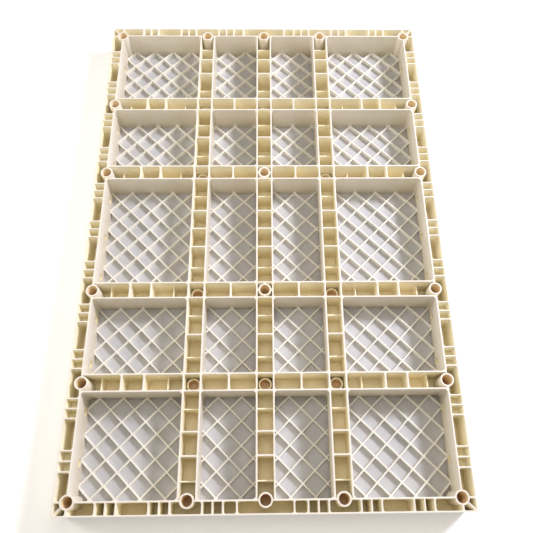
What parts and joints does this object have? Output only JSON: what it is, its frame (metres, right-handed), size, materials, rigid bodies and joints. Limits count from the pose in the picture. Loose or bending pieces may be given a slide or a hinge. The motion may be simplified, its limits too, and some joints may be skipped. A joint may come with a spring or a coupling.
{
  "type": "plastic formwork panel",
  "caption": "Rectangular moulded plastic formwork panel, face down, its back divided into bays by hollow ribs with round pillars, over a low diagonal lattice.",
  "frame": {"origin": "middle of the working face, on the surface the panel lies on", "axes": "+Y along the length towards the far end, +X across the width, +Z from the working face up to the rib rims"},
  "size_m": [0.6, 0.9, 0.058],
  "materials": {
    "frame": "cream moulded ABS, fine satin",
    "sheet": "off-white moulded ABS, smooth"
  },
  "bodies": {
    "root": {"face_sheet": "sheet", "lattice_r1_c1": "frame", "lattice_r1_c2": "frame", "lattice_r1_c3": "frame", "lattice_r1_c4": "frame", "lattice_r2_c1": "frame", "lattice_r2_c2": "frame", "lattice_r2_c3": "frame", "lattice_r2_c4": "frame", "lattice_r3_c1": "frame", "lattice_r3_c2": "frame", "lattice_r3_c3": "frame", "lattice_r3_c4": "frame", "lattice_r4_c1": "frame", "lattice_r4_c2": "frame", "lattice_r4_c3": "frame", "lattice_r4_c4": "frame", "lattice_r5_c1": "frame", "lattice_r5_c2": "frame", "lattice_r5_c3": "frame", "lattice_r5_c4": "frame", "rail_left": "frame", "rail_right": "frame", "rail_near": "frame", "rail_far": "frame", "post_near_left": "frame", "post_near_right": "frame", "post_far_left": "frame", "post_far_right": "frame", "spine_left": "frame", "spine_centre": "frame", "spine_right": "frame", "cross_rib_1_c1": "frame", "cross_rib_1_c2": "frame", "cross_rib_1_c3": "frame", "cross_rib_1_c4": "frame", "cross_rib_2_c1": "frame", "cross_rib_2_c2": "frame", "cross_rib_2_c3": "frame", "cross_rib_2_c4": "frame", "cross_rib_3_c1": "frame", "cross_rib_3_c2": "frame", "cross_rib_3_c3": "frame", "cross_rib_3_c4": "frame", "cross_rib_4_c1": "frame", "cross_rib_4_c2": "frame", "cross_rib_4_c3": "frame", "cross_rib_4_c4": "frame", "pillar_1_left": "frame", "pillar_1_centre": "frame", "pillar_1_right": "frame", "pillar_2_left": "frame", "pillar_2_centre": "frame", "pillar_2_right": "frame", "pillar_3_left": "frame", "pillar_3_centre": "frame", "pillar_3_right": "frame", "pillar_4_left": "frame", "pillar_4_centre": "frame", "pillar_4_right": "frame"}
  },
  "joints": []
}
